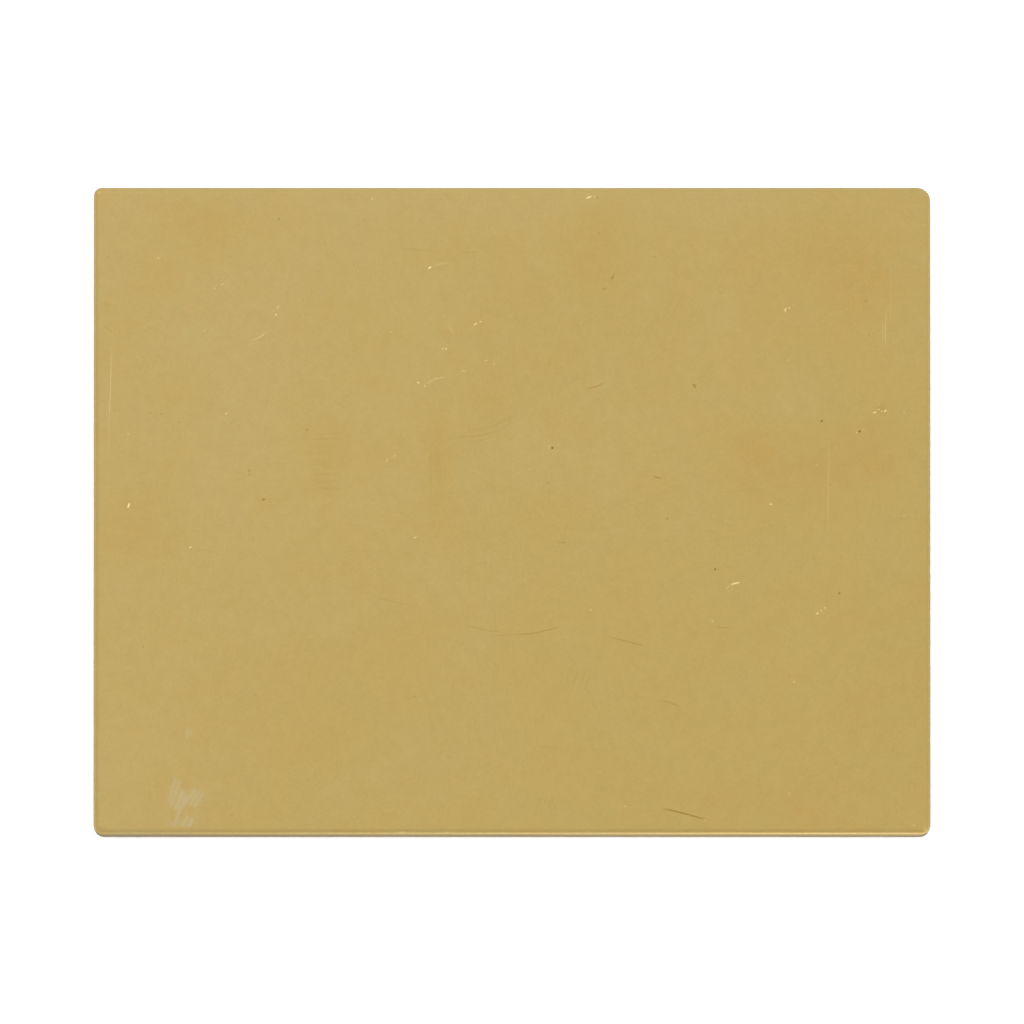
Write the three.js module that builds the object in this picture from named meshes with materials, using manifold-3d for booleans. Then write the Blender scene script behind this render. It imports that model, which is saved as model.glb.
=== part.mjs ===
// A brass paperweight for writing paper: a solid slab with rounded edges and corners, and a felt
// pad that a double-sided adhesive film holds in a shallow recess milled in the slab's underside.
// Millimetres. +X is the long side, -Y is the front, +Z is up. The origin is the centre of the
// pad's underside, on the surface that the paperweight stands on.

import * as THREE from 'three';
import { mergeVertices } from 'three/addons/utils/BufferGeometryUtils.js';
import Module from 'manifold-3d';

// Driving dimensions
const SLAB_LENGTH = 84;
const SLAB_WIDTH = 65;
const SLAB_THICKNESS = 8;
const EDGE_RADIUS = 0.65; // rounding between a face and the sides

// The four corners in plan were rounded by hand, each a little differently
const CORNER_RADII = { frontLeft: 0.95, frontRight: 1.0, backRight: 1.3, backLeft: 0.8 };

const RIM_WIDTH = 3; // flat brass left around the recess
const RECESS_DEPTH = 1;
const CUTTER_RADIUS = 3; // the end mill's radius, left in the recess's corners

const FELT_THICKNESS = 1.5;
const ADHESIVE_THICKNESS = 0.2;
const FELT_CLEARANCE = 0.3; // all round, so that the felt drops into the recess

// Facets
const ARC_STEPS = 6; // half the segments in a quarter circle seen in plan
const EDGE_STEPS = 6; // segments in the rounding of an edge

// Derived dimensions
const RECESS_LENGTH = SLAB_LENGTH - 2 * RIM_WIDTH;
const RECESS_WIDTH = SLAB_WIDTH - 2 * RIM_WIDTH;
const FELT_LENGTH = RECESS_LENGTH - 2 * FELT_CLEARANCE;
const FELT_WIDTH = RECESS_WIDTH - 2 * FELT_CLEARANCE;
const FELT_CORNER = CUTTER_RADIUS - FELT_CLEARANCE;
const SLAB_BOTTOM = FELT_THICKNESS + ADHESIVE_THICKNESS - RECESS_DEPTH;

const BRASS = { color: 0xc1a766, roughness: 0.38, metalness: 1 };
const ADHESIVE = { color: 0xe4dfcd, roughness: 0.5, metalness: 0 };
const FELT = { color: 0x36373a, roughness: 0.95, metalness: 0 };

const wasm = await Module();
wasm.setup();

function sameRadii(radius) {
  return { frontLeft: radius, frontRight: radius, backRight: radius, backLeft: radius };
}

// A rectangle centred on the origin, drawn counterclockwise from its front left corner
function roundedRectangle(length, width, radii) {
  const { frontLeft, frontRight, backRight, backLeft } = radii;
  const x = length / 2;
  const y = width / 2;
  const quarter = Math.PI / 2;
  const outline = new THREE.Shape();
  outline.absarc(frontLeft - x, frontLeft - y, frontLeft, 2 * quarter, 3 * quarter);
  outline.absarc(x - frontRight, frontRight - y, frontRight, 3 * quarter, 4 * quarter);
  outline.absarc(x - backRight, y - backRight, backRight, 0, quarter);
  outline.absarc(backLeft - x, y - backLeft, backLeft, quarter, 2 * quarter);
  outline.closePath();
  return outline;
}

// An extruded outline that stands on z = 0
function flatBlock(outline, height) {
  return new THREE.ExtrudeGeometry(outline, {
    depth: height,
    bevelEnabled: false,
    curveSegments: ARC_STEPS,
  });
}

// The same, with its top and bottom edges rounded inside the outline and the height
function roundedBlock(outline, height, radius) {
  const geometry = new THREE.ExtrudeGeometry(outline, {
    depth: height - 2 * radius,
    bevelEnabled: true,
    bevelThickness: radius,
    bevelSize: radius,
    bevelOffset: -radius,
    bevelSegments: EDGE_STEPS,
    curveSegments: ARC_STEPS,
  });
  return geometry.translate(0, 0, radius);
}

function toSolid(geometry) {
  const bare = geometry.clone();
  bare.deleteAttribute('normal');
  bare.deleteAttribute('uv');
  const merged = mergeVertices(bare);
  const vertProperties = merged.attributes.position.array;
  const triVerts = new Uint32Array(merged.index.array);
  return new wasm.Manifold(new wasm.Mesh({ numProp: 3, vertProperties, triVerts }));
}

function toGeometry(solid) {
  const mesh = solid.getMesh();
  const geometry = new THREE.BufferGeometry();
  geometry.setAttribute('position', new THREE.BufferAttribute(mesh.vertProperties, 3));
  geometry.setIndex(new THREE.BufferAttribute(mesh.triVerts, 1));
  geometry.computeVertexNormals();
  return geometry;
}

function piece(name, geometry, finish, bottom) {
  const mesh = new THREE.Mesh(geometry, new THREE.MeshStandardMaterial(finish));
  mesh.name = name;
  mesh.position.z = bottom;
  return mesh;
}

function brassSlab() {
  const outline = roundedRectangle(SLAB_LENGTH, SLAB_WIDTH, CORNER_RADII);
  const blank = toSolid(roundedBlock(outline, SLAB_THICKNESS, EDGE_RADIUS));

  // The cutter starts below the slab, so that its lower end leaves no skin
  const pocket = roundedRectangle(RECESS_LENGTH, RECESS_WIDTH, sameRadii(CUTTER_RADIUS));
  const cut = flatBlock(pocket, 2 * RECESS_DEPTH).translate(0, 0, -RECESS_DEPTH);
  const milled = blank.subtract(toSolid(cut));

  return piece('brass_slab', toGeometry(milled), BRASS, SLAB_BOTTOM);
}

// The felt and its adhesive are cut together, so they share one outline
function padLayer(name, thickness, finish, bottom) {
  const outline = roundedRectangle(FELT_LENGTH, FELT_WIDTH, sameRadii(FELT_CORNER));
  return piece(name, flatBlock(outline, thickness), finish, bottom);
}

const paperweight = new THREE.Group();
paperweight.add(padLayer('felt_pad', FELT_THICKNESS, FELT, 0));
paperweight.add(padLayer('adhesive_film', ADHESIVE_THICKNESS, ADHESIVE, FELT_THICKNESS));
paperweight.add(brassSlab());

export default paperweight;
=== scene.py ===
"""The looks of a brass paperweight: a satin slab with the wear of a used one, on a felt pad.

Blender's own units here are metres, in the frame of the CAD model. Every length in this script is
in millimetres and its name or comment says so; MM turns it into metres where a mesh is made.
"""

import math
import random

import bpy
import numpy as np
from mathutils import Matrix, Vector
from mathutils.geometry import delaunay_2d_cdt


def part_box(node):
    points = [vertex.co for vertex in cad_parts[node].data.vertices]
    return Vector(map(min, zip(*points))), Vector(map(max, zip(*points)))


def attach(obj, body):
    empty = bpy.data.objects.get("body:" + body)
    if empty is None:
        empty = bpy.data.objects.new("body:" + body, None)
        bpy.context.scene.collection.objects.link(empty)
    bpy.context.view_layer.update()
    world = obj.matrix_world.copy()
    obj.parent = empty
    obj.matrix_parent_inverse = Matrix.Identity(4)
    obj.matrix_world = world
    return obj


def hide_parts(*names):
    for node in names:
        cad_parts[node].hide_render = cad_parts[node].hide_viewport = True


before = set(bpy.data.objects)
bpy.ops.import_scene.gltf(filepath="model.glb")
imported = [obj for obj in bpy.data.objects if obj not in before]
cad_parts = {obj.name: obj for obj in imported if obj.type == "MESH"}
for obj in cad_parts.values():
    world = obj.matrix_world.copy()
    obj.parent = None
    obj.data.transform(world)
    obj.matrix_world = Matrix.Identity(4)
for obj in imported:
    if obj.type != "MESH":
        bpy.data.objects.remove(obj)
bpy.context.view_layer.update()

MM = 0.001
SEED = 11

# --------------------------------------
# Sizes, in millimetres
# --------------------------------------

SLAB_LOW, SLAB_HIGH = (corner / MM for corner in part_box("brass_slab"))
FELT_LOW, FELT_HIGH = (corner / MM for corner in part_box("felt_pad"))
FILM_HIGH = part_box("adhesive_film")[1] / MM

LENGTH = SLAB_HIGH.x - SLAB_LOW.x
WIDTH = SLAB_HIGH.y - SLAB_LOW.y
TOP = SLAB_HIGH.z
BOTTOM = SLAB_LOW.z
CEILING = FILM_HIGH.z  # of the recess in the underside

EDGE_RADIUS = 0.65
CORNER_RADII = (0.95, 1.0, 1.3, 0.8)  # front left, front right, back right, back left
RECESS_GAP = 0.3  # between the felt and the recess's wall
RECESS_CORNER = 3.0
RECESS_CHAMFER = 0.15
FELT_LENGTH = FELT_HIGH.x - FELT_LOW.x
FELT_WIDTH = FELT_HIGH.y - FELT_LOW.y
FELT_CORNER = RECESS_CORNER - RECESS_GAP

# How fine the slab's mesh is
SIDE_STEP = 0.28  # between points along a straight side
CORNER_STEPS = 14  # round a corner in plan
EDGE_STEPS = 9  # over a rounded edge
WALL_STEPS = 8  # down the straight part of a side
FACE_GRID = 1.0
SMEAR_GRID = 0.14
TOP_MARGIN = 1e-4  # a point less than this under the top is on the face

# --------------------------------------
# The wear on the face. Places are millimetres from the face's centre, +x right and +y back.
# A mark's tone is 1 for bare bright metal, coloured pale to paint in a glint, and -1 for dirt, and its
# depth follows its tone.
# GLINTS, SCRATCHES and PITS weren't all chosen by hand: 109 of their 141 places are ones that a
# program found in the photo or converted from its pixels.
# --------------------------------------

# Bright nicks, bare metal whose colour also paints in their glints: (points, tone)
GLINTS = [
    ([(-38.6, 0.2), (-38.35, 0.85)], 1.0),
    ([(-8.45, 24.3), (-8.1, 24.55)], 0.92),
    ([(-8.0, 24.6), (-6.3, 25.0)], 0.35),
    ([(21.9, -7.45), (22.4, -7.3), (23.0, -7.2)], 0.85),
    ([(21.4, -7.9), (21.9, -7.5)], 0.4),
    ([(7.35, 31.4), (7.7, 31.5), (8.05, 31.65)], 0.9),
    ([(8.25, 31.75), (8.3, 31.4)], 0.5),
    ([(37.3, 9.9), (37.65, 10.15)], 0.85),
    ([(36.2, 9.8), (36.65, 9.95)], 0.75),
    ([(36.7, 10.1), (36.95, 10.25)], 0.65),
    ([(37.0, 10.0), (37.2, 9.95)], 0.8),
    ([(36.7, 10.75), (37.0, 10.55)], 0.4),
    ([(-3.9, 18.6), (-3.5, 18.9)], 0.72),
    ([(-3.3, 18.9), (-3.05, 19.1)], 0.6),
    ([(-9.5, 12.95), (-9.35, 12.8)], 0.9),
    ([(-8.85, 12.5), (-8.65, 12.6)], 0.6),
    ([(-8.75, 12.65), (-7.9, 13.2), (-6.6, 13.5)], 0.4),
    ([(-5.2, 14.0), (-4.6, 14.05)], 0.5),
    ([(25.8, 0.65), (26.15, 0.65)], 0.75),
    ([(-6.65, 16.15), (-6.6, 16.4)], 0.8),
    ([(-6.97, 16.15), (-6.93, 16.4)], 0.6),
    ([(30.5, -10.45), (30.8, -10.2)], 0.72),
    ([(30.95, -10.15), (31.15, -9.95)], 0.6),
    ([(31.35, -9.9), (31.45, -9.6)], 0.6),
    ([(11.3, -29.75), (11.4, -29.65)], 0.7),
    ([(-23.65, 20.2), (-23.4, 20.7)], 0.55),
    ([(-23.8, 19.55), (-23.65, 19.85)], 0.65),
    ([(-24.0, 20.2), (-23.9, 20.0)], 0.45),
    ([(34.6, 7.75), (34.65, 7.95)], 0.6),
    ([(35.25, 8.05), (35.35, 8.2)], 0.5),
    ([(27.4, 19.9), (27.5, 20.45)], 0.75),
    ([(27.75, 20.5), (27.95, 20.3)], 0.65),
    ([(40.65, 8.45), (40.8, 8.5)], 0.45),
    ([(-1.85, 14.9), (-1.75, 14.6)], 0.55),
    ([(-2.8, 15.05), (-2.4, 15.15)], 0.5),
    ([(-32.45, -3.8), (-32.1, -3.55)], 0.6),
    ([(19.3, -31.05), (19.5, -31.1)], 0.5),
    ([(-14.1, 31.5), (-14.0, 31.2)], 0.65),
    ([(-28.9, 9.7), (-28.5, 9.85)], 0.55),
    ([(-35.7, 25.4), (-35.35, 25.4)], 0.55),
    ([(39.35, -0.6), (39.35, -0.4)], 0.6),
    ([(30.5, 4.55), (30.8, 4.65)], 0.4),
    ([(7.85, -9.8), (7.95, -10.1)], 0.55),
    ([(-12.2, 17.9), (-12.1, 18.05)], 0.55),
    ([(2.2, -2.0), (2.3, -2.1)], 0.4),
    ([(14.0, 30.4), (14.2, 30.5)], 0.4),
    ([(37.6, 13.0), (37.65, 13.1)], 0.5),
    ([(39.35, 9.75), (39.4, 10.0)], 0.45),
    ([(-38.6, 7.65), (-38.4, 7.8)], 0.5),
    ([(-40.7, -22.8), (-40.6, -22.6)], 0.5),
    ([(28.1, -17.1), (28.5, -17.3)], 0.5),
    ([(-9.9, -2.8), (-9.5, -2.55)], 0.5),
    ([(-6.95, -20.1), (-6.8, -20.0)], 0.4),
    ([(20.0, -10.9), (20.3, -11.3)], 0.5),
    ([(27.7, -28.3), (28.0, -28.5)], 0.45),
    ([(40.2, -31.5), (40.5, -31.7)], 0.5),
    ([(40.0, -3.5), (40.1, -3.6)], 0.4),
    ([(3.65, 6.15), (3.7, 6.5), (3.9, 6.65)], 0.35),
    ([(27.5, 15.1), (27.9, 15.15)], 0.4),
    ([(22.7, 18.1), (22.9, 18.1)], 0.4),
    ([(24.4, 3.6), (24.6, 3.6)], 0.4),
    ([(1.6, 4.15), (2.1, 4.1)], 0.35),
    ([(-30.0, 22.3), (-29.7, 22.4)], 0.45),
    ([(-29.3, 22.6), (-28.9, 22.9)], 0.45),
    ([(-31.0, 18.0), (-30.7, 18.2)], 0.4),
    ([(-12.7, 4.8), (-12.4, 5.3)], 0.45),
    ([(-11.9, 5.3), (-11.7, 5.7)], 0.45),
]

# Scratches and scuffs: (points, half width, tone)
SCRATCHES = [
    ([(15.0, -29.9), (17.2, -30.4), (19.5, -31.05)], 0.08, -0.62),
    ([(11.5, -29.7), (15.2, -29.95)], 0.05, 0.15),
    ([(9.6, -12.65), (11.4, -13.1), (13.4, -13.65)], 0.06, -0.3),
    ([(14.4, -19.05), (15.6, -19.2), (16.9, -19.7)], 0.06, -0.3),
    ([(-4.7, -11.5), (-2.2, -12.1), (-0.9, -12.2)], 0.06, -0.17),
    ([(-2.3, -12.6), (0.8, -12.4)], 0.06, -0.12),
    ([(0.3, -12.5), (2.4, -12.3), (4.8, -11.7)], 0.07, -0.3),
    ([(-11.2, 26.4), (-9.2, 26.2), (-7.2, 26.0)], 0.06, -0.12),
    ([(-5.2, 26.0), (-3.2, 25.95)], 0.06, -0.1),
    ([(14.1, 3.5), (14.5, 3.35), (15.0, 3.25)], 0.07, -0.45),
    ([(-6.2, 7.3), (-3.2, 7.55), (-1.2, 8.15), (0.3, 9.1)], 0.07, -0.12),
    ([(-6.0, 6.8), (-3.0, 7.1), (-1.0, 7.6)], 0.06, -0.08),
    ([(-4.5, 8.0), (-2.0, 8.4), (0.2, 9.5)], 0.06, -0.08),
    ([(7.4, 12.2), (8.4, 12.45), (9.4, 12.9)], 0.07, -0.3),
    ([(-40.0, 24.0), (-40.05, 20.0), (-40.15, 16.2)], 0.05, 0.2),
    ([(-40.15, 16.6), (-40.25, 14.5), (-40.4, 9.5)], 0.06, 0.48),
    ([(-40.4, 11.0), (-40.45, 8.5), (-40.55, 5.0)], 0.05, 0.32),
    ([(-40.65, 11.2), (-40.7, 8.6)], 0.05, 0.25),
    ([(38.05, 26.0), (38.0, 21.0), (38.0, 17.5)], 0.05, 0.25),
    ([(37.6, 20.5), (37.5, 18.5), (37.5, 16.2)], 0.05, 0.42),
    ([(37.2, 19.4), (37.2, 16.4)], 0.05, 0.32),
    ([(31.8, 7.1), (31.75, 2.0), (31.7, -3.1)], 0.05, 0.32),
    ([(-35.3, -2.0), (-27.0, -4.4), (-18.0, -7.2), (-9.2, -10.0)], 0.05, -0.04),
    ([(-13.8, -8.7), (-9.9, -9.6)], 0.05, -0.12),
    ([(-8.4, -12.3), (-8.4, -13.9)], 0.06, -0.12),
    ([(20.4, -11.65), (21.2, -11.8), (21.95, -11.7)], 0.06, -0.25),
    ([(4.4, -3.2), (5.6, -3.25)], 0.06, -0.2),
    ([(2.6, -23.7), (4.0, -23.75)], 0.06, -0.12),
    ([(-26.8, 17.0), (-25.8, 17.2), (-24.4, 18.1)], 0.06, 0.38),
    ([(-26.6, 16.7), (-25.4, 16.9)], 0.05, 0.3),
    ([(-41.1, 20.9), (-39.9, 20.5)], 0.06, -0.12),
    ([(3.3, 2.85), (3.9, 2.75)], 0.06, -0.25),
    ([(9.95, 23.0), (10.3, 24.0)], 0.10, -0.22),
    ([(8.9, 22.2), (9.6, 22.4)], 0.08, -0.2),
    ([(18.0, 12.65), (18.35, 12.6), (18.35, 12.2)], 0.11, -0.5),
    ([(-41.1, 18.6), (-39.6, 17.6)], 0.06, -0.15),
    ([(-40.6, 18.8), (-39.2, 17.9)], 0.05, -0.1),
    ([(-31.5, -3.8), (-29.0, -4.5)], 0.05, -0.1),
    ([(-6.4, 18.9), (-5.9, 17.7)], 0.09, 0.3),
]

# Pits and specks of dirt: (place, radius, tone)
PITS = [
    ((4.05, 6.3), 0.13, -1.0),
    ((-25.0, 1.1), 0.11, -0.8),
    ((-24.8, 1.1), 0.09, -0.6),
    ((20.4, -5.9), 0.12, -0.9),
    ((20.7, -5.9), 0.07, -0.4),
    ((34.9, 7.95), 0.13, -1.0),
    ((37.1, 10.3), 0.50, -0.18),
    ((8.6, 31.45), 0.09, -0.5),
    ((20.9, 21.9), 0.09, -0.3),
    ((31.1, 9.0), 0.12, -0.9),
    ((32.85, -8.3), 0.12, -0.8),
    ((-23.4, 29.3), 0.11, -0.6),
    ((15.6, -0.8), 0.10, -0.6),
    ((10.1, 23.4), 0.10, -0.5),
    ((9.3, 22.3), 0.08, -0.3),
    ((-20.6, 8.1), 0.10, -0.5),
    ((35.5, 21.1), 0.10, -0.5),
    ((14.3, 25.5), 0.09, -0.5),
    ((-15.9, 24.7), 0.09, -0.4),
    ((-9.8, -18.7), 0.09, -0.4),
    ((-26.4, 4.0), 0.13, -0.4),
    ((-26.35, 3.6), 0.10, -0.3),
    ((-35.2, 9.7), 0.09, -0.35),
    ((8.7, 27.9), 0.08, -0.4),
]
PITS += [(place, 0.08, -0.35) for place in (
    (-28.9, 8.7), (-28.2, 8.75), (-36.3, 9.8), (-33.4, 8.9), (-39.9, 10.0), (5.2, -3.2),
    (31.9, 2.6), (-27.4, 8.5), (-40.5, 25.5), (35.8, 17.6), (27.8, -16.6),
)]

# Bundles of faint parallel lines: (centre, direction in degrees, length, spread, count, tone)
RUBS = [
    ((-18.7, 4.8), 2, 3.0, 6.0, 44, -0.03),
    ((-7.6, 4.2), 92, 5.5, 1.6, 14, -0.02),
    ((16.9, 19.9), 62, 4.5, 4.0, 14, -0.03),
    ((6.4, -16.6), 68, 2.0, 3.0, 14, -0.06),
    ((3.6, -29.3), 60, 1.6, 1.6, 9, -0.06),
    ((-2.5, 8.5), 12, 5.0, 2.0, 8, -0.04),
    ((27.0, -2.0), 84, 6.0, 5.0, 9, -0.03),
]

# Soft tarnish: (place, half widths, strength), where a negative strength is cleaner, paler metal
STAINS = [
    ((-30.3, 29.0), (5.5, 4.0), 0.9),
    ((7.8, 25.8), (3.0, 5.5), 0.7),
    ((-7.4, 4.5), (1.2, 5.0), 0.9),
    ((-18.4, 5.0), (2.4, 2.4), 0.6),
    ((0.7, -2.6), (4.0, 3.0), 0.4),
    ((36.5, 21.5), (4.5, 6.0), 0.4),
    ((23.8, 7.4), (3.5, 3.0), 0.35),
    ((-26.2, 13.5), (3.5, 7.0), -0.8),
    ((-29.4, 2.4), (4.5, 4.0), -0.6),
    ((28.0, 10.0), (4.0, 2.5), -0.5),
    ((3.9, 7.4), (4.0, 3.0), -0.5),
    ((-5.0, 32.0), (30.0, 2.0), -0.6),
    ((31.0, 24.5), (9.0, 6.0), 0.4),
    ((33.0, 7.0), (9.0, 5.0), 0.3),
]

# Dried polish that was wiped and not buffed out: (from, to, half width, strength)
SMEARS = [
    ((-33.7, -26.6), (-34.5, -29.6), 0.20, 0.40),
    ((-33.2, -26.9), (-34.3, -29.9), 0.18, 0.45),
    ((-32.9, -27.9), (-33.8, -30.2), 0.20, 0.60),
    ((-32.6, -28.2), (-33.9, -31.6), 0.16, 0.55),
    ((-31.7, -27.9), (-33.2, -29.9), 0.18, 0.60),
    ((-31.2, -28.0), (-32.5, -29.8), 0.17, 0.50),
    ((-30.9, -28.3), (-32.0, -29.9), 0.17, 0.50),
    ((-34.0, -28.4), (-31.3, -28.9), 0.30, 0.25),
    ((-32.4, -30.6), (-33.2, -31.8), 0.18, 0.50),
    ((-32.0, -30.9), (-32.5, -31.8), 0.20, 0.60),
    ((-33.0, -31.1), (-34.3, -31.6), 0.20, 0.35),
    ((-32.5, -22.0), (-32.6, -22.9), 0.12, 0.40),
]

# Dents in the slab's edges: (place, radius, depth); a negative depth is a raised burr
DENTS = [
    ((7.6, 32.3, TOP - 0.15), 0.45, 0.10),
    ((9.6, 32.4, TOP - 0.2), 0.5, 0.05),
    ((-14.2, 32.3, TOP - 0.15), 0.3, 0.05),
    ((-41.8, -0.6, TOP - 0.2), 0.5, 0.05),
    ((-41.8, -1.8, TOP - 0.2), 0.4, 0.04),
    ((-41.8, -22.0, TOP - 0.2), 0.4, 0.06),
    ((41.8, -14.0, TOP - 0.2), 0.5, 0.04),
    ((41.9, -6.0, TOP - 0.2), 0.35, 0.05),
    ((41.9, -23.1, TOP - 0.2), 0.35, 0.05),
    ((41.9, -31.0, TOP - 0.2), 0.4, 0.05),
    ((40.4, -31.6, TOP - 0.1), 0.3, 0.04),
    ((-37.6, -32.4, BOTTOM + 0.3), 0.25, -0.10),
    ((-11.0, -32.4, TOP - 0.3), 0.3, 0.05),
    ((-6.5, -32.4, TOP - 0.3), 0.25, 0.04),
]


FLECKS = 90
HAIRLINES = 34
FAINT_MARGIN = 1.2  # from the face's outline to the nearest of them


def faint_marks():
    """Seeded flecks, hairlines and rubbed bundles that fill the face between the marks above."""
    rng = random.Random(SEED)
    reach_x = LENGTH / 2 - FAINT_MARGIN
    reach_y = WIDTH / 2 - FAINT_MARGIN
    strokes = []
    for _ in range(FLECKS):
        x, y = rng.uniform(-reach_x, reach_x), rng.uniform(-reach_y, reach_y)
        angle, size = rng.uniform(0, math.pi), rng.uniform(0.05, 0.2)
        step = (size * math.cos(angle), size * math.sin(angle))
        ends = [(x - step[0], y - step[1]), (x + step[0], y + step[1])]
        strokes.append((ends, 0.06, rng.choice((-1, 1)) * rng.uniform(0.1, 0.3)))
    for _ in range(HAIRLINES):
        x, y = rng.uniform(-reach_x, reach_x), rng.uniform(-reach_y, reach_y)
        angle, size = rng.uniform(0, math.pi), rng.uniform(1.5, 6.0)
        bend = rng.uniform(-0.25, 0.25)
        points = []
        for t in (-0.5, -0.25, 0.0, 0.25, 0.5):
            turn = angle + bend * t
            points.append((x + size * t * math.cos(turn), y + size * t * math.sin(turn)))
        inside = all(abs(px) < reach_x and abs(py) < reach_y for px, py in points)
        if inside:
            strokes.append((points, 0.05, rng.uniform(-0.07, 0.05)))
    for (x, y), degrees, size, spread, count, tone in RUBS:
        along = np.array([math.cos(math.radians(degrees)), math.sin(math.radians(degrees))])
        across = np.array([-along[1], along[0]])
        for _ in range(count):
            middle = np.array([x, y]) + across * rng.uniform(-0.5, 0.5) * spread
            middle = middle + along * rng.uniform(-0.2, 0.2) * size
            half = along * size * rng.uniform(0.3, 0.5)
            sag = across * rng.uniform(-0.15, 0.15)
            points = [tuple(middle - half), tuple(middle + sag), tuple(middle + half)]
            strokes.append((points, rng.uniform(0.05, 0.10), tone * rng.uniform(0.5, 1.3)))
    return strokes


# (points, half width, tone); a nick is the wider the brighter it is
STROKES = [(points, 0.07 + 0.025 * tone, tone) for points, tone in GLINTS]
STROKES += SCRATCHES + faint_marks()
GROOVE_DEPTH = 0.035  # of a stroke whose tone is 1 or -1
PIT_DEPTH = 0.055  # of a pit whose tone is 1 or -1

# --------------------------------------
# Outlines
# --------------------------------------


def rounded_outline(length, width, radii, side_steps, corner_steps):
    """Points counterclockwise round a rounded rectangle from its front left corner, and the
    outward direction at each."""
    x, y = length / 2, width / 2
    corner_signs = ((-1, -1), (1, -1), (1, 1), (-1, 1))
    points, normals = [], []
    for turn, ((sx, sy), radius) in enumerate(zip(corner_signs, radii, strict=True)):
        centre = np.array([sx * (x - radius), sy * (y - radius)])
        for step in range(corner_steps + 1):
            angle = math.pi * (1 + turn / 2) + math.pi / 2 * step / corner_steps
            normal = np.array([math.cos(angle), math.sin(angle)])
            points.append(centre + normal * radius)
            normals.append(normal)
        next_sx, next_sy = corner_signs[(turn + 1) % 4]
        next_radius = radii[(turn + 1) % 4]
        next_centre = np.array([next_sx * (x - next_radius), next_sy * (y - next_radius)])
        start, end = points[-1], next_centre + normals[-1] * next_radius
        steps = side_steps[turn % 2]
        for step in range(1, steps):
            points.append(start + (end - start) * step / steps)
            normals.append(normals[-1])
    return np.array(points), np.array(normals)


def steps_along(length, width, step):
    return (round(length / step), round(width / step))


# --------------------------------------
# How marks shape the face
# --------------------------------------


def along_polyline(points, line):
    """For each point, its distance from the line and where along it the nearest point is, 0 to 1."""
    line = np.array(line, float)
    starts, steps = line[:-1], np.diff(line, axis=0)
    lengths = np.linalg.norm(steps, axis=1)
    before = np.concatenate([[0], np.cumsum(lengths)[:-1]])
    nearest = np.full(len(points), np.inf)
    share = np.zeros(len(points))
    for start, step, size, passed in zip(starts, steps, lengths, before, strict=True):
        t = np.clip((points - start) @ step / size**2, 0, 1)
        distance = np.linalg.norm(points - start - t[:, None] * step, axis=1)
        closer = distance < nearest
        nearest[closer] = distance[closer]
        share[closer] = (passed + t[closer] * size) / lengths.sum()
    return nearest, share


def near(points, line, margin):
    line = np.array(line, float)
    low, high = line.min(0) - margin, line.max(0) + margin
    return np.flatnonzero(((points > low) & (points < high)).all(1))


def groove_height(points):
    """The height that strokes and pits add to the face at each (x, y)."""
    height = np.zeros(len(points))
    for line, half, tone in STROKES:
        picked = near(points, line, 2 * half)
        distance, share = along_polyline(points[picked], line)
        fade = np.clip(1 - np.abs(2 * share - 1) ** 6, 0, 1)
        inner = np.clip(distance / half, 0, 1)
        lip = np.clip(1 - np.abs(distance / half - 1.3) / 0.6, 0, 1)
        depth = GROOVE_DEPTH * abs(tone)
        height[picked] += fade * depth * (0.15 * lip - np.cos(inner * math.pi / 2) ** 2)
    for place, radius, tone in PITS:
        picked = near(points, [place], 3 * radius)
        distance = np.linalg.norm(points[picked] - place, axis=1)
        height[picked] -= PIT_DEPTH * abs(tone) * np.exp(-((distance / radius) ** 2))
    return height


def stroke_tone(points):
    """How far strokes and pits make the face bare metal with a painted glint (above 0) or dirty (below
    0), at each (x, y).
    """
    tone = np.zeros(len(points))
    for line, half, value in STROKES:
        picked = near(points, line, 2 * half)
        distance, share = along_polyline(points[picked], line)
        fade = np.clip(1 - np.abs(2 * share - 1) ** 4, 0, 1)
        tone[picked] += value * fade * np.clip(1 - (distance / half / 1.3) ** 2, 0, 1)
    for place, radius, value in PITS:
        picked = near(points, [place], 3 * radius)
        distance = np.linalg.norm(points[picked] - place, axis=1)
        tone[picked] += value * np.clip(1.15 * np.exp(-((distance / radius) ** 2)) - 0.15, 0, 1)
    return np.clip(tone, -1, 1)


def smear_strength(points):
    strength = np.zeros(len(points))
    for start, end, half, value in SMEARS:
        picked = near(points, [start, end], 2 * half)
        distance, share = along_polyline(points[picked], [start, end])
        fade = np.clip(1.6 - 1.6 * np.abs(2 * share - 1) ** 3, 0, 1)
        soft = np.clip(1 - (distance / half / 1.4) ** 2, 0, 1)
        strength[picked] = np.maximum(strength[picked], value * fade * soft)
    return strength


def stain_strength(points):
    strength = np.zeros(len(points))
    for place, half, value in STAINS:
        away = (((points - place) / half) ** 2).sum(1)
        strength += value * np.exp(-away)
    return strength


def stroke_points(line, half):
    """Mesh points that carry a groove's section along a line."""
    line = np.array(line, float)
    lengths = np.linalg.norm(np.diff(line, axis=0), axis=1)
    total = lengths.sum()
    steps = max(4, round(total / 0.3))
    travel = np.linspace(0, total, steps + 1)
    marks = np.concatenate([[0], np.cumsum(lengths)])
    centre = np.stack([np.interp(travel, marks, line[:, k]) for k in (0, 1)], 1)
    direction = np.gradient(centre, axis=0)
    direction /= np.linalg.norm(direction, axis=1)[:, None]
    before = centre[0] - direction[0] * half * np.array([[2.2], [1.1]])
    after = centre[-1] + direction[-1] * half * np.array([[1.1], [2.2]])
    centre = np.concatenate([before, centre, after])
    direction = np.concatenate([direction[[0, 0]], direction, direction[[-1, -1]]])
    across = np.stack([-direction[:, 1], direction[:, 0]], 1)
    offsets = np.array([-1.9, -1.3, -0.85, -0.45, 0, 0.45, 0.85, 1.3, 1.9]) * half
    return (centre[:, None] + across[:, None] * offsets[None, :, None]).reshape(-1, 2)


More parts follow.
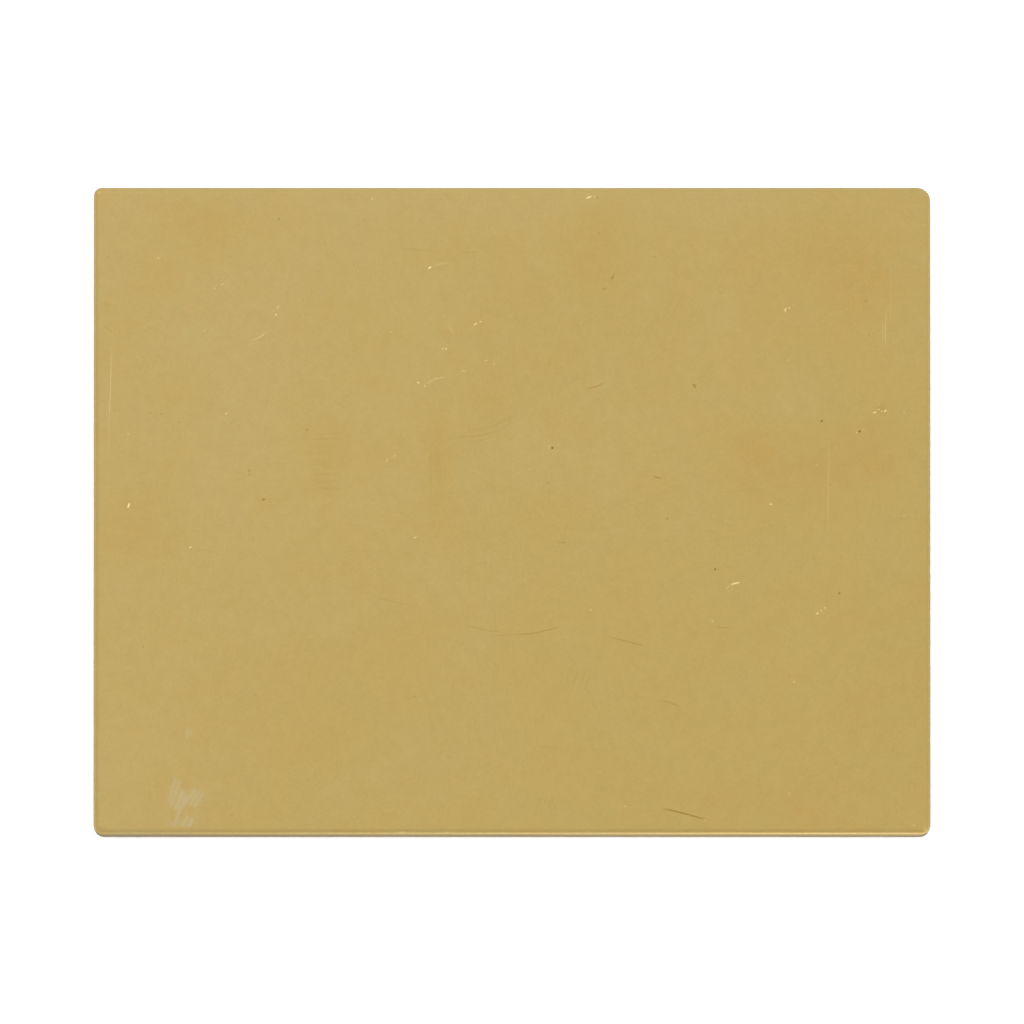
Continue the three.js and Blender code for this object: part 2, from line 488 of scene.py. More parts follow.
def pit_points(place, radius):
    points = [place]
    for ring, share in enumerate((0.4, 0.8, 1.3, 2.2)):
        for step in range(8):
            angle = math.tau * (step + ring / 2) / 8
            points.append((place[0] + share * radius * math.cos(angle),
                           place[1] + share * radius * math.sin(angle)))
    return np.array(points)


def grid_points(low, high, step):
    """Points a step apart, from the low (x, y) up to the high one."""
    xs = np.arange(low[0], high[0], step)
    ys = np.arange(low[1], high[1], step)
    return np.stack(np.meshgrid(xs, ys), -1).reshape(-1, 2)


def smear_points():
    """A fine grid over the smears."""
    places = np.array([end for smear in SMEARS for end in smear[:2]])
    grid = grid_points(places.min(0) - 0.6, places.max(0) + 0.6, SMEAR_GRID)
    return grid[smear_strength(grid) > 0.001]


def face_points(border):
    """Every mesh point inside the face's border."""
    half = np.array([LENGTH, WIDTH]) / 2
    groups = [grid_points(1 - half, half - 0.5, FACE_GRID), smear_points()]
    groups += [stroke_points(line, half) for line, half, _ in STROKES]
    groups += [pit_points(place, radius) for place, radius, _ in PITS]
    points = np.concatenate(groups)
    margin = 0.05
    low, high = border.min(0) + margin, border.max(0) - margin
    return points[((points > low) & (points < high)).all(1)]


# --------------------------------------
# How use has shaped the whole slab
# --------------------------------------


def wave(points, waves):
    total = np.zeros(len(points))
    for direction, phase in waves:
        total += np.sin(points @ direction + phase)
    return total / len(waves)


def random_waves(rng, count, shortest, longest):
    """Directions in space, as long as their wave numbers, and phases."""
    made = []
    for _ in range(count):
        direction = np.array([rng.gauss(0, 1) for _ in range(3)])
        direction /= np.linalg.norm(direction)
        made.append((direction * math.tau / rng.uniform(shortest, longest), rng.uniform(0, math.tau)))
    return made


WEAR = random.Random(SEED + 1)
SWELL = random_waves(WEAR, 6, 18.0, 40.0)  # of the whole surface
HAND = random_waves(WEAR, 10, 2.5, 9.0)  # of the edges, from filing and handling
NIBBLE = random_waves(WEAR, 14, 0.7, 2.2)  # of the edges, from knocks
SWELL_HEIGHT, HAND_HEIGHT, NIBBLE_HEIGHT = 0.006, 0.25, 0.12


def inside_distance(points):
    """How far inside the slab's plan outline each (x, y) is, roughly at the corners."""
    across = LENGTH / 2 - np.abs(points[:, 0])
    along = WIDTH / 2 - np.abs(points[:, 1])
    return np.clip(np.minimum(across, along), 0, EDGE_RADIUS)


def slab_height(points):
    """How far each point of the slab's surface stands out from its ideal place."""
    below_top = np.clip(TOP - points[:, 2], 0, EDGE_RADIUS)
    above_bottom = np.clip(points[:, 2] - BOTTOM, 0, EDGE_RADIUS)
    edge = np.minimum(below_top, above_bottom) * inside_distance(points) / EDGE_RADIUS**2
    height = SWELL_HEIGHT * wave(points, SWELL)
    height += edge * (HAND_HEIGHT * wave(points, HAND) + NIBBLE_HEIGHT * wave(points, NIBBLE))
    for place, radius, depth in DENTS:
        distance = np.linalg.norm(points - place, axis=1)
        height -= depth * np.exp(-((distance / radius) ** 2))
    on_face = np.flatnonzero(points[:, 2] > TOP - TOP_MARGIN)
    height[on_face] += groove_height(points[on_face, :2])
    return height


def shaped(points, normals, height_of):
    """The points moved along their normals by height_of, and the moved surface's normals."""
    step = 0.002
    slope = np.zeros_like(points)
    for axis in range(3):
        offset = np.zeros(3)
        offset[axis] = step
        slope[:, axis] = (height_of(points + offset) - height_of(points - offset)) / (2 * step)
    slope -= (slope * normals).sum(1)[:, None] * normals
    turned = normals - slope
    turned /= np.linalg.norm(turned, axis=1)[:, None]
    return points + normals * height_of(points)[:, None], turned


# --------------------------------------
# Mesh building
# --------------------------------------


def ring(outline, outward, inset, z, tilt):
    """A loop of points inside the outline at height z, and normals tilted up from level."""
    flat = outline - outward * inset
    points = np.column_stack([flat, np.full(len(flat), z)])
    normals = np.column_stack([outward * math.cos(tilt), np.full(len(flat), math.sin(tilt))])
    return points, normals


def side_rings(outline, outward, top, bottom, radius, edge_steps, wall_steps):
    """Loops from the top's border down over the rounded edges and the side to the underside."""
    angles = [math.pi / 2 * step / edge_steps for step in range(edge_steps + 1)]
    rings = []
    for angle in angles:
        inset = radius * (1 - math.sin(angle))
        z = top - radius * (1 - math.cos(angle))
        rings.append(ring(outline, outward, inset, z, math.pi / 2 - angle))
    for z in np.linspace(top - radius, bottom + radius, wall_steps + 1)[1:-1]:
        rings.append(ring(outline, outward, 0, z, 0))
    for angle in angles:
        inset = radius * (1 - math.cos(angle))
        z = bottom + radius * (1 - math.sin(angle))
        rings.append(ring(outline, outward, inset, z, -angle))
    return rings


def outer_rings():
    steps = steps_along(LENGTH, WIDTH, SIDE_STEP)
    outline, outward = rounded_outline(LENGTH, WIDTH, CORNER_RADII, steps, CORNER_STEPS)
    return side_rings(outline, outward, TOP, BOTTOM, EDGE_RADIUS, EDGE_STEPS, WALL_STEPS)


def recess_rings():
    """Loops from the recess's chamfered mouth up its wall to its ceiling."""
    length = FELT_LENGTH + 2 * RECESS_GAP
    width = FELT_WIDTH + 2 * RECESS_GAP
    steps = steps_along(LENGTH, WIDTH, SIDE_STEP)
    outline, outward = rounded_outline(length, width, [RECESS_CORNER] * 4, steps, CORNER_STEPS)
    mouth = ring(outline, outward, -RECESS_CHAMFER, BOTTOM, -math.pi / 2)
    lip = ring(outline, outward, 0, BOTTOM + RECESS_CHAMFER, -math.pi / 2)
    ceiling = ring(outline, outward, 0, CEILING, -math.pi / 2)
    return [mouth, lip, ceiling]


def triangulated(border, inner):
    """Points and triangles that fill the border, which come first and in order."""
    points = [Vector(point) for point in np.concatenate([border, inner])]
    made = delaunay_2d_cdt(points, [], [list(range(len(border)))], 1, 1e-5)
    places, _, triangles, sources = made[:4]
    order = sorted(range(len(places)), key=lambda k: min(sources[k], default=len(points) + k))
    rank = {old: new for new, old in enumerate(order)}
    flat = np.array([places[old] for old in order])
    return flat, [tuple(rank[corner] for corner in triangle) for triangle in triangles]


def strip(lower, upper):
    """Quads between two closed loops of vertex numbers."""
    count = len(lower)
    return [(lower[k], lower[(k + 1) % count], upper[(k + 1) % count], upper[k]) for k in range(count)]


def slab_shape():
    """Points, normals and faces of the slab. The last faces, which are the rim's and the recess's,
    are flat; their number comes last."""
    rings = outer_rings()
    border = rings[0][0][:, :2]
    flat, faces = triangulated(border, face_points(border))
    count = len(border)
    points = [np.column_stack([flat, np.full(len(flat), TOP)])]
    normals = [np.tile([0.0, 0.0, 1.0], (len(flat), 1))]
    loops = [list(range(count))]
    total = len(flat)
    recess = recess_rings()
    for ring_points, ring_normals in rings[1:] + recess:
        points.append(ring_points)
        normals.append(ring_normals)
        loops.append(list(range(total, total + count)))
        total += count
    for upper, lower in zip(loops, loops[1:]):
        faces += strip(lower, upper)
    faces.append(tuple(reversed(loops[-1])))
    return np.concatenate(points), np.concatenate(normals), faces, len(recess) * count + 1


def mesh_object(name, points, faces):
    """A new object from points in millimetres."""
    mesh = bpy.data.meshes.new(name)
    mesh.from_pydata((points * MM).tolist(), [], faces)
    mesh.validate()
    mesh.update()
    piece = bpy.data.objects.new(name, mesh)
    bpy.context.collection.objects.link(piece)
    return piece


def set_normals(mesh, normals, flat_faces):
    """Shades every face by the normals at its points, but the last flat_faces by their own."""
    corners = np.empty(len(mesh.loops), int)
    mesh.loops.foreach_get("vertex_index", corners)
    by_corner = normals[corners]
    sizes = np.empty(len(mesh.polygons), int)
    mesh.polygons.foreach_get("loop_total", sizes)
    own = np.empty(3 * len(mesh.polygons))
    mesh.polygons.foreach_get("normal", own)
    flat_corners = sizes[-flat_faces:].sum()
    by_corner[-flat_corners:] = np.repeat(own.reshape(-1, 3)[-flat_faces:], sizes[-flat_faces:], axis=0)
    mesh.polygons.foreach_set("use_smooth", np.ones(len(mesh.polygons), bool))
    mesh.normals_split_custom_set(by_corner.tolist())


def add_attribute(mesh, name, values):
    mesh.attributes.new(name, "FLOAT", "POINT").data.foreach_set("value", values)


def make_slab():
    points, normals, faces, flat_faces = slab_shape()
    tone = np.zeros(len(points))
    smear = np.zeros(len(points))
    stain = stain_strength(points[:, :2])
    on_face = points[:, 2] > TOP - TOP_MARGIN
    tone[on_face] = stroke_tone(points[on_face, :2])
    smear[on_face] = smear_strength(points[on_face, :2])
    points, normals = shaped(points, normals, slab_height)
    slab = mesh_object("slab", points, faces)
    add_attribute(slab.data, "stain", stain)
    add_attribute(slab.data, "tone", tone)
    add_attribute(slab.data, "smear", smear)
    set_normals(slab.data, normals, flat_faces)
    return slab


# --------------------------------------
# Felt
# --------------------------------------

FELT_EDGE = 0.25  # radius of its softened edges
FELT_GRID = 0.5
FELT_SIDE_STEP = 0.25
FELT_CORNER_STEPS = 24
FELT_RAGGED = 0.05  # how far its cut side wanders
FELT_NAP = 0.06  # how far its underside lifts off the table


def felt_rings():
    steps = steps_along(FELT_LENGTH, FELT_WIDTH, FELT_SIDE_STEP)
    outline, outward = rounded_outline(
        FELT_LENGTH, FELT_WIDTH, [FELT_CORNER] * 4, steps, FELT_CORNER_STEPS)
    rings = side_rings(outline, outward, FELT_HIGH.z, FELT_LOW.z, FELT_EDGE, 4, 5)
    return [points for points, _ in rings]


def felt_base_points():
    """Mesh points inside the underside's rounded border."""
    half = np.array([FELT_LENGTH, FELT_WIDTH]) / 2
    grid = grid_points(0.5 - half, half - 0.4, FELT_GRID)
    past_corner = np.maximum(np.abs(grid) - (half - FELT_CORNER), 0)
    return grid[np.linalg.norm(past_corner, axis=1) < FELT_CORNER - FELT_EDGE - 0.1]


def felt_shape():
    """Points and faces of the felt, from its underside up."""
    rings = felt_rings()
    border = rings[-1][:, :2]
    flat, triangles = triangulated(border, felt_base_points())
    count = len(border)
    points = [np.column_stack([flat, np.full(len(flat), FELT_LOW.z)])]
    faces = [tuple(reversed(triangle)) for triangle in triangles]
    loops = [list(range(count))]
    total = len(flat)
    for ring_points in reversed(rings[:-1]):
        points.append(ring_points)
        loops.append(list(range(total, total + count)))
        total += count
    for lower, upper in zip(loops, loops[1:]):
        faces += strip(lower, upper)
    faces.append(tuple(loops[-1]))
    return np.concatenate(points), faces


def roughened(points):
    """The felt's points with a ragged side and a napped underside."""
    rng = random.Random(SEED + 2)
    ragged = random_waves(rng, 16, 0.6, 3.0)
    nap = random_waves(rng, 24, 1.2, 6.0)
    half = np.array([FELT_LENGTH, FELT_WIDTH]) / 2
    side = np.clip(np.abs(points[:, :2]) - half + 1, 0, 1).max(1)
    inward = -FELT_RAGGED * (0.6 + wave(points, ragged)) * side
    points[:, :2] *= (1 + inward / np.maximum(np.abs(points[:, :2]).max(1), 1))[:, None]
    low = points[:, 2] < FELT_LOW.z + 0.01
    points[low, 2] += FELT_NAP * np.clip(wave(points[low], nap) + 0.1, 0, 1)
    return points


def make_felt():
    """A die-cut pad of wool felt."""
    points, faces = felt_shape()
    felt = mesh_object("felt", roughened(points), faces)
    felt.data.polygons.foreach_set("use_smooth", np.ones(len(felt.data.polygons), bool))
    return felt


# --------------------------------------
# Shader nodes
# --------------------------------------


def new_material(name):
    material = bpy.data.materials.new(name)
    material.use_nodes = True
    tree = material.node_tree
    tree.nodes.clear()
    output = tree.nodes.new("ShaderNodeOutputMaterial")
    surface = tree.nodes.new("ShaderNodeBsdfPrincipled")
    tree.links.new(surface.outputs["BSDF"], output.inputs["Surface"])
    return material, tree, surface


def feed(tree, socket, value):
    if isinstance(value, bpy.types.NodeSocket):
        tree.links.new(value, socket)
    else:
        socket.default_value = value


def place_in_mm(tree):
    """Where a point is on the object, in millimetres."""
    coordinates = tree.nodes.new("ShaderNodeTexCoord")
    mapping = tree.nodes.new("ShaderNodeMapping")
    mapping.inputs["Scale"].default_value = (1 / MM, 1 / MM, 1 / MM)
    tree.links.new(coordinates.outputs["Object"], mapping.inputs["Vector"])
    return mapping.outputs["Vector"]


def stretched(tree, place, stretch, degrees=0):
    """The place for a texture that is stretched along axes turned by degrees about z."""
    mapping = tree.nodes.new("ShaderNodeMapping")
    mapping.vector_type = "TEXTURE"
    mapping.inputs["Scale"].default_value = stretch
    mapping.inputs["Rotation"].default_value = (0, 0, math.radians(degrees))
    tree.links.new(place, mapping.inputs["Vector"])
    return mapping.outputs["Vector"]


def noise(tree, place, size, detail=2.0, roughness=0.5, distortion=0.0):
    """Soft noise round 0.5 whose features are about size millimetres across."""
    node = tree.nodes.new("ShaderNodeTexNoise")
    node.inputs["Scale"].default_value = 1 / size
    node.inputs["Detail"].default_value = detail
    node.inputs["Roughness"].default_value = roughness
    node.inputs["Distortion"].default_value = distortion
    tree.links.new(place, node.inputs["Vector"])
    return node.outputs["Fac"]


def maths(tree, operation, *values):
    node = tree.nodes.new("ShaderNodeMath")
    node.operation = operation
    for socket, value in zip(node.inputs, values):
        feed(tree, socket, value)
    return node.outputs["Value"]


def times(tree, first, second):
    return maths(tree, "MULTIPLY", first, second)


def plus(tree, first, second):
    return maths(tree, "ADD", first, second)


def spread(tree, value, low, high, to_low=0.0, to_high=1.0):
    """value, moved from low..high to to_low..to_high and kept inside them."""
    node = tree.nodes.new("ShaderNodeMapRange")
    feed(tree, node.inputs["Value"], value)
    node.inputs["From Min"].default_value = low
    node.inputs["From Max"].default_value = high
    node.inputs["To Min"].default_value = to_low
    node.inputs["To Max"].default_value = to_high
    return node.outputs["Result"]


def mixed(tree, factor, first, second, blend="MIX"):
    node = tree.nodes.new("ShaderNodeMix")
    node.data_type = "RGBA"
    node.blend_type = blend
    feed(tree, node.inputs["Factor"], factor)
    first_socket, second_socket = [socket for socket in node.inputs if socket.type == "RGBA"]
    feed(tree, first_socket, first)
    feed(tree, second_socket, second)
    return next(socket for socket in node.outputs if socket.type == "RGBA")


def blended(tree, factor, first, second):
    node = tree.nodes.new("ShaderNodeMix")
    feed(tree, node.inputs["Factor"], factor)
    feed(tree, node.inputs["A"], first)
    feed(tree, node.inputs["B"], second)
    return node.outputs["Result"]


def scaled_channels(tree, colour, amount, swings):
    """The colour with each channel times 1 - its swing where amount is 0, up to 1 + it at 1."""
    factor = tree.nodes.new("ShaderNodeCombineColor")
    for channel, swing in zip(("Red", "Green", "Blue"), swings, strict=True):
        feed(tree, factor.inputs[channel], spread(tree, amount, 0, 1, 1 - swing, 1 + swing))
    return mixed(tree, 1.0, colour, factor.outputs["Color"], "MULTIPLY")


def attribute(tree, name):
    node = tree.nodes.new("ShaderNodeAttribute")
    node.attribute_name = name
    return node.outputs["Fac"]


def ramped(tree, value, stops):
    """A grey level that follows (value, level) stops, which start at 0."""
    reach = stops[-1][0]
    node = tree.nodes.new("ShaderNodeValToRGB")
    feed(tree, node.inputs["Fac"], spread(tree, value, 0, reach))
    elements = node.color_ramp.elements
    while len(elements) < len(stops):
        elements.new(0.5)
    for element, (at, level) in zip(elements, stops, strict=True):
        element.position = at / reach
        element.color = (level, level, level, 1)
    return node.outputs["Color"]


def split(tree, vector):
    node = tree.nodes.new("ShaderNodeSeparateXYZ")
    tree.links.new(vector, node.inputs["Vector"])
    return node.outputs


def bump(tree, height, strength, distance, normal=None):
    node = tree.nodes.new("ShaderNodeBump")
    node.inputs["Strength"].default_value = strength
    node.inputs["Distance"].default_value = distance
    tree.links.new(height, node.inputs["Height"])
    if normal is not None:
        tree.links.new(normal, node.inputs["Normal"])
    return node.outputs["Normal"]


# --------------------------------------
# Materials
# --------------------------------------

BRASS_ROSY = (0.905, 0.664, 0.250, 1)
BRASS_GOLD = (0.870, 0.617, 0.200, 1)
# Bare metal in the nicks, lightened so that it also paints in their glints
BRASS_BARE_AND_GLINT = (0.96, 0.74, 0.38, 1)
BRASS_BURNISHED = (0.96, 0.78, 0.39, 1)
BRASS_DULL = (0.66, 0.44, 0.10, 1)
POLISH_FILM = (0.96, 0.83, 0.50, 1)
SOOT = (0.22, 0.14, 0.05, 1)

FELT_SHADOW = (0.016, 0.016, 0.019, 1)
FELT_FIBRE = (0.085, 0.087, 0.093, 1)
FELT_CLUMP = (0.03, 0.03, 0.034, 1)
ADHESIVE_DARK = (0.50, 0.44, 0.30, 1)
ADHESIVE_PALE = (0.62, 0.57, 0.43, 1)
TABLE_DARK = (0.79, 0.79, 0.79, 1)
TABLE_PALE = (0.81, 0.81, 0.81, 1)

# How far patches move the red, green and blue of the brass from their mean
MOTTLE = (0.045, 0.052, 0.085)
TINT = (0.017, -0.020, -0.055)
TORN_METAL = 0.5  # share of the light that the brightest nicks scatter instead of mirroring
SATIN = (0.35, 0.41)  # the least and the most roughness of clean brass
SMOOTHER = 0.12  # how much less where it is bare or burnished
ROUGHER = 0.2  # how much more under the polish film
BUMP = 0.00002  # metres, of the satin grain and the drawn lines


def brass():
    material, tree, surface = new_material("satin_brass")
    place = place_in_mm(tree)
    upright = maths(tree, "ABSOLUTE", split(tree, true_normal(tree))[2])
    on_side = spread(tree, upright, 0.5, 0.1)
    drawn = drawn_lines(tree, place)
    burnish = edge_wear(tree, place, upright)
    tone = attribute(tree, "tone")
    smear = attribute(tree, "smear")
    bright = spread(tree, tone, 0, 1)

    colour = aged_brass(tree, place)
    colour = mottled(tree, colour, place, drawn, on_side)
    colour = mixed(tree, burnish, colour, BRASS_BURNISHED)
    # Painted highlight: the nicks' bare metal is coloured pale to stand in for their glints, on top of
    # the real wear
    colour = marked(tree, colour, tone)
    colour = mixed(tree, smear, colour, POLISH_FILM)
    feed(tree, surface.inputs["Base Color"], colour)

    rough = spread(tree, noise(tree, place, 6, 4), 0.3, 0.7, *SATIN)
    polished = times(tree, maths(tree, "MAXIMUM", bright, burnish), SMOOTHER)
    rough = maths(tree, "SUBTRACT", rough, polished)
    rough = plus(tree, rough, times(tree, smear, ROUGHER))
    feed(tree, surface.inputs["Roughness"], rough)
    torn = times(tree, times(tree, bright, bright), TORN_METAL)
    feed(tree, surface.inputs["Metallic"], maths(tree, "SUBTRACT", 1.0, torn))

    satin = bump(tree, noise(tree, place, 0.09, 3, 0.6), 0.06, BUMP)
    lines = times(tree, drawn, on_side)
    feed(tree, surface.inputs["Normal"], bump(tree, lines, 0.5, BUMP, satin))
    return material


def aged_brass(tree, place):
    """Rosier at the back left and golder at the front right and in the stains."""
    x, y, _ = split(tree, place)
    slope = plus(tree, times(tree, x, 0.6), times(tree, y, -0.8))
    across = spread(tree, slope, -45, 45)
    clouds = spread(tree, noise(tree, place, 14, 3), 0.3, 0.7, -0.2, 0.2)
    stain = times(tree, attribute(tree, "stain"), 0.6)
    aged = plus(tree, plus(tree, across, clouds), stain)
    return mixed(tree, aged, BRASS_ROSY, BRASS_GOLD)


def mottled(tree, colour, place, drawn, on_side):
    """The colour with satin grain on the faces, drawn lines on the sides, and patchy tints."""
    patches = spread(tree, noise(tree, place, 1.3, 5, 0.8), 0.3, 0.7)
    grain = spread(tree, noise(tree, place, 0.32, 2, 0.7), 0.3, 0.7)
    patchy = blended(tree, 0.4, patches, grain)
    streaks = blended(tree, 0.3, drawn, grain)
    colour = scaled_channels(tree, colour, blended(tree, on_side, patchy, streaks), MOTTLE)
    tints = spread(tree, noise(tree, place, 7, 5, 0.8), 0.3, 0.7)
    stain = spread(tree, attribute(tree, "stain"), 0, 1, 0, 0.5)
    return scaled_channels(tree, colour, plus(tree, tints, stain), TINT)


def marked(tree, colour, tone):
    """The colour with bare metal, painted pale enough to show as a glint, where tone is above 0 and
    dirt where it is below.
    """
    dirty = spread(tree, tone, 0, -1)
    colour = mixed(tree, spread(tree, tone, 0, 1), colour, BRASS_BARE_AND_GLINT)
    colour = mixed(tree, spread(tree, dirty, 0, 0.5), colour, BRASS_DULL)
    return mixed(tree, spread(tree, dirty, 0.5, 1), colour, SOOT)


def drawn_lines(tree, place):
    """Fine and coarse lines that run lengthwise along the sides."""
    fine = noise(tree, stretched(tree, place, (50, 50, 1)), 0.10, 2, 0.7)
    coarse = noise(tree, stretched(tree, place, (125, 125, 1)), 0.35, 2, 0.5)
    return spread(tree, blended(tree, 0.5, fine, coarse), 0.35, 0.65)


def edge_wear(tree, place, upright):
    """Brighter metal in nicks along the rounded edges."""
    band = times(tree, spread(tree, upright, 0.75, 0.5), spread(tree, upright, 0.05, 0.2))
    nicks = spread(tree, noise(tree, place, 0.5, 4, 0.7), 0.45, 0.65)
    return times(tree, band, spread(tree, nicks, 0, 1, 0.1, 0.8))


def true_normal(tree):
    return tree.nodes.new("ShaderNodeNewGeometry").outputs["True Normal"]


def fibre_mat(tree, place):
    """Fine curved fibres that run every way, the uppermost brightest."""
    mat = 0.0
    for degrees in (0, 37, 71, 108, 143):
        along = stretched(tree, place, (8, 0.6, 1), degrees)
        mat = maths(tree, "MAXIMUM", noise(tree, along, 0.2, 3, distortion=0.8), mat)
    return spread(tree, mat, 0.5, 0.8)


def wool_felt():
    material, tree, surface = new_material("wool_felt")
    place = place_in_mm(tree)
    nap = fibre_mat(tree, place)
    clumps = spread(tree, noise(tree, place, 1.5, 2), 0.35, 0.7, 0, 0.4)
    colour = mixed(tree, nap, FELT_SHADOW, FELT_FIBRE)
    feed(tree, surface.inputs["Base Color"], mixed(tree, clumps, colour, FELT_CLUMP))
    feed(tree, surface.inputs["Roughness"], spread(tree, nap, 0, 1, 0.98, 0.85))
    surface.inputs["Sheen Weight"].default_value = 0.35
    surface.inputs["Sheen Roughness"].default_value = 0.5
    surface.inputs["Specular IOR Level"].default_value = 0.2
    feed(tree, surface.inputs["Normal"], bump(tree, nap, 0.9, 0.00015))
    return material


def dried_adhesive():
    material, tree, surface = new_material("dried_adhesive")
    place = place_in_mm(tree)
    swirls = spread(tree, noise(tree, place, 3, 4), 0.3, 0.7)
    feed(tree, surface.inputs["Base Color"], mixed(tree, swirls, ADHESIVE_DARK, ADHESIVE_PALE))
    feed(tree, surface.inputs["Roughness"], spread(tree, swirls, 0, 1, 0.35, 0.55))
    feed(tree, surface.inputs["Normal"], bump(tree, swirls, 0.4, 0.0001))
    return material


def white_table():
    material, tree, surface = new_material("white_table")
    place = place_in_mm(tree)
    tint = spread(tree, noise(tree, place, 60, 2), 0.3, 0.7)
    feed(tree, surface.inputs["Base Color"], mixed(tree, tint, TABLE_DARK, TABLE_PALE))
    surface.inputs["Roughness"].default_value = 0.9
    surface.inputs["Specular IOR Level"].default_value = 0.1
    return material


def beyond(tree, value, half):
    """How far value is past half, on either side of 0."""
    past = maths(tree, "SUBTRACT", maths(tree, "ABSOLUTE", value), half)
    return maths(tree, "MAXIMUM", past, 0.0)


def front_glow(tree, x, y):
    """The share of the front glow at a place on the table, 0 to 1."""
    in_front = maths(tree, "SUBTRACT", times(tree, y, -1.0), WIDTH / 2)
    share = times(tree, spread(tree, in_front, *GLOW_STARTS), spread(tree, in_front, *GLOW_ENDS))
    share = times(tree, share, spread(tree, x, *GLOW_ACROSS))
    return times(tree, share, spread(tree, beyond(tree, x, LENGTH / 2), *GLOW_PAST_SIDES))


def reflected_table():
    material = bpy.data.materials.new("reflected_table")
    material.use_nodes = True
    tree = material.node_tree
    tree.nodes.clear()
    output = tree.nodes.new("ShaderNodeOutputMaterial")
    glow = tree.nodes.new("ShaderNodeEmission")
    tree.links.new(glow.outputs["Emission"], output.inputs["Surface"])
    x, y, _ = split(tree, place_in_mm(tree))
    past_x = beyond(tree, x, LENGTH / 2)
    past_y = beyond(tree, y, WIDTH / 2)
    squares = plus(tree, times(tree, past_x, past_x), times(tree, past_y, past_y))
    away = maths(tree, "SQRT", squares)
    extra = times(tree, front_glow(tree, x, y), FRONT_GLOW)
    # Painted shadow and light: the glow is dimmest beside the slab, plus a painted pool of window light
    # in front
    feed(tree, glow.inputs["Strength"], plus(tree, ramped(tree, away, TABLE), extra))
    material.cycles.emission_sampling = "NONE"
    return material


# --------------------------------------
# Studio
# --------------------------------------

FLOOR_SIZE = 8000.0
FLOOR_DROP = 0.05  # under the felt, so the two surfaces never share a plane

# Brightness of the room by the height of a direction: 0 level, 1 straight up
ROOM = ((0.0, 0.68), (0.5, 0.66), (0.8, 0.71), (1.0, 0.763))
ROOM_LEAN = (0.06, 0.10)  # brighter towards +x and +y
# Brightness of the table in the brass's reflections, by distance from the slab: a painted shadow of the
# slab, darkest right beside it
TABLE = ((0.0, 0.17), (1.5, 0.27), (4.0, 0.45), (10.0, 0.56), (25.0, 0.63), (60.0, 0.67))
FRONT_GLOW = 0.42  # light from a window in front, on the table just there
# Where there is none of it and where all of it
GLOW_STARTS = (1.5, 6)  # in front of the slab
GLOW_ENDS = (80, 25)  # farther in front
GLOW_ACROSS = (-40, 25)  # from left to right
GLOW_PAST_SIDES = (40, 0)  # beyond the slab's sides
BACKDROP = 0.92  # what the camera sees of the room

KEY = dict(name="key", azimuth=135, from_zenith=48, distance=0.34, side=0.095, radiance=1.1)
FILL = dict(name="fill", azimuth=-45, from_zenith=55, distance=0.36, side=0.08, radiance=1.4)
TABLE_LAMP = 4.4  # lights the table from straight above and is out of the brass's reflections
TABLE_LAMP_ANGLE = 10

LENS = 1000.0
SENSOR = 36.0
SLAB_SHARE_OF_FRAME = 0.8172
CAMERA_TILT = 2.7  # degrees off straight down, towards the front
AIM_Y = -0.14  # where it aims, just in front of the slab's centre
CLIP_END = 10  # metres


def make_level_plane(name, z):
    half = FLOOR_SIZE / 2
    corners = np.array([(-half, -half, z), (half, -half, z), (half, half, z), (-half, half, z)])
    return mesh_object(name, corners, [(0, 1, 2, 3)])


def make_floor():
    floor = make_level_plane("floor", -FLOOR_DROP)
    floor.data.materials.append(white_table())
    floor.visible_glossy = False
    return floor


def make_reflected_table():
    """The table as the brass reflects it: a glowing plane that only reflections see, softer than the
    bright one that the camera sees, with a painted shadow of the slab round it.
    """
    table = make_level_plane("reflected_table", -2 * FLOOR_DROP)
    table.data.materials.append(reflected_table())
    for kind in ("camera", "diffuse", "transmission", "volume_scatter", "shadow"):
        setattr(table, "visible_" + kind, False)
    return table


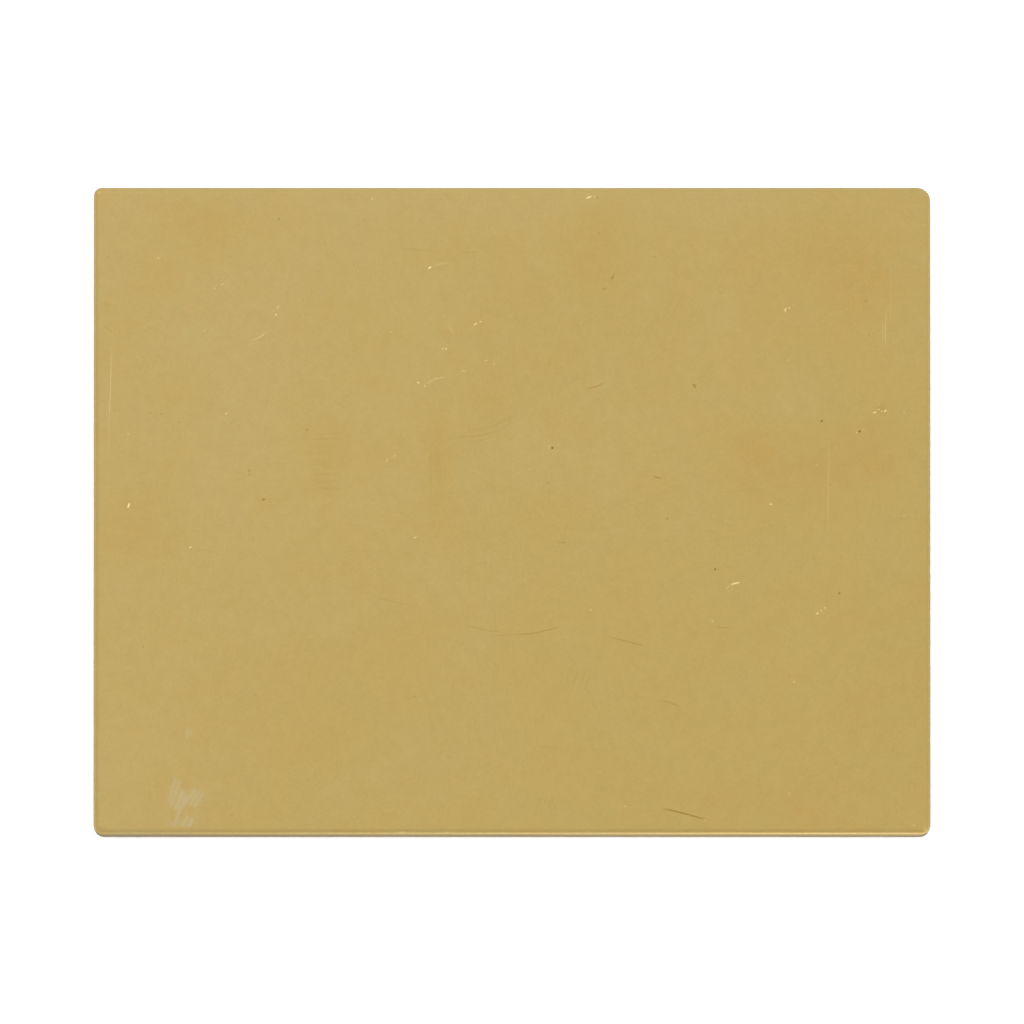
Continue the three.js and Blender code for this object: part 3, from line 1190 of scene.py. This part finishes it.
def make_room():
    world = bpy.data.worlds.new("room")
    world.use_nodes = True
    tree = world.node_tree
    tree.nodes.clear()
    output = tree.nodes.new("ShaderNodeOutputWorld")
    background = tree.nodes.new("ShaderNodeBackground")
    tree.links.new(background.outputs["Background"], output.inputs["Surface"])
    direction = tree.nodes.new("ShaderNodeTexCoord").outputs["Generated"]
    x, y, z = split(tree, direction)
    level = ramped(tree, z, ROOM)
    lean = plus(tree, times(tree, x, ROOM_LEAN[0]), times(tree, y, ROOM_LEAN[1]))
    level = times(tree, level, plus(tree, lean, 1.0))
    seen = tree.nodes.new("ShaderNodeLightPath").outputs["Is Camera Ray"]
    unseen = maths(tree, "SUBTRACT", 1.0, seen)
    strength = plus(tree, times(tree, seen, BACKDROP), times(tree, unseen, level))
    tree.links.new(strength, background.inputs["Strength"])
    bpy.context.scene.world = world


def make_softbox(name, azimuth, from_zenith, distance, side, radiance):
    light = bpy.data.lights.new(name, "AREA")
    light.shape = "SQUARE"
    light.size = side
    light.energy = radiance * math.pi * side**2
    softbox = bpy.data.objects.new(name, light)
    bpy.context.collection.objects.link(softbox)
    turn, lean = math.radians(azimuth), math.radians(from_zenith)
    out = Vector((math.cos(turn) * math.sin(lean), math.sin(turn) * math.sin(lean), math.cos(lean)))
    softbox.location = out * distance
    softbox.rotation_euler = out.to_track_quat("Z", "Y").to_euler()
    softbox.visible_camera = False


def make_table_lamp():
    light = bpy.data.lights.new("table_lamp", "SUN")
    light.energy = TABLE_LAMP
    light.angle = math.radians(TABLE_LAMP_ANGLE)
    lamp = bpy.data.objects.new("table_lamp", light)
    bpy.context.collection.objects.link(lamp)
    lamp.visible_glossy = False


def make_camera():
    data = bpy.data.cameras.new("camera")
    data.lens = LENS
    data.sensor_width = SENSOR
    data.clip_end = CLIP_END
    camera = bpy.data.objects.new("camera", data)
    bpy.context.collection.objects.link(camera)
    distance = LENS / SENSOR * LENGTH / SLAB_SHARE_OF_FRAME
    tilt = math.radians(CAMERA_TILT)
    target = Vector((0, AIM_Y, TOP))
    out = Vector((0, -math.sin(tilt), math.cos(tilt)))
    camera.location = (target + out * distance) * MM
    camera.rotation_euler = (tilt, 0, 0)
    bpy.context.scene.camera = camera


# --------------------------------------
# The scene
# --------------------------------------


def main():
    scene = bpy.context.scene
    scene.view_settings.view_transform = "Standard"
    make_camera()
    make_room()
    make_softbox(**KEY)
    make_softbox(**FILL)
    make_table_lamp()

    make_floor()
    make_reflected_table()

    slab = make_slab()
    slab.data.materials.append(brass())
    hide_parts("brass_slab")
    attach(slab, "root")

    felt = make_felt()
    felt.data.materials.append(wool_felt())
    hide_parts("felt_pad")
    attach(felt, "root")

    film = bpy.data.objects["adhesive_film"]
    film.material_slots[0].material = dried_adhesive()


main()
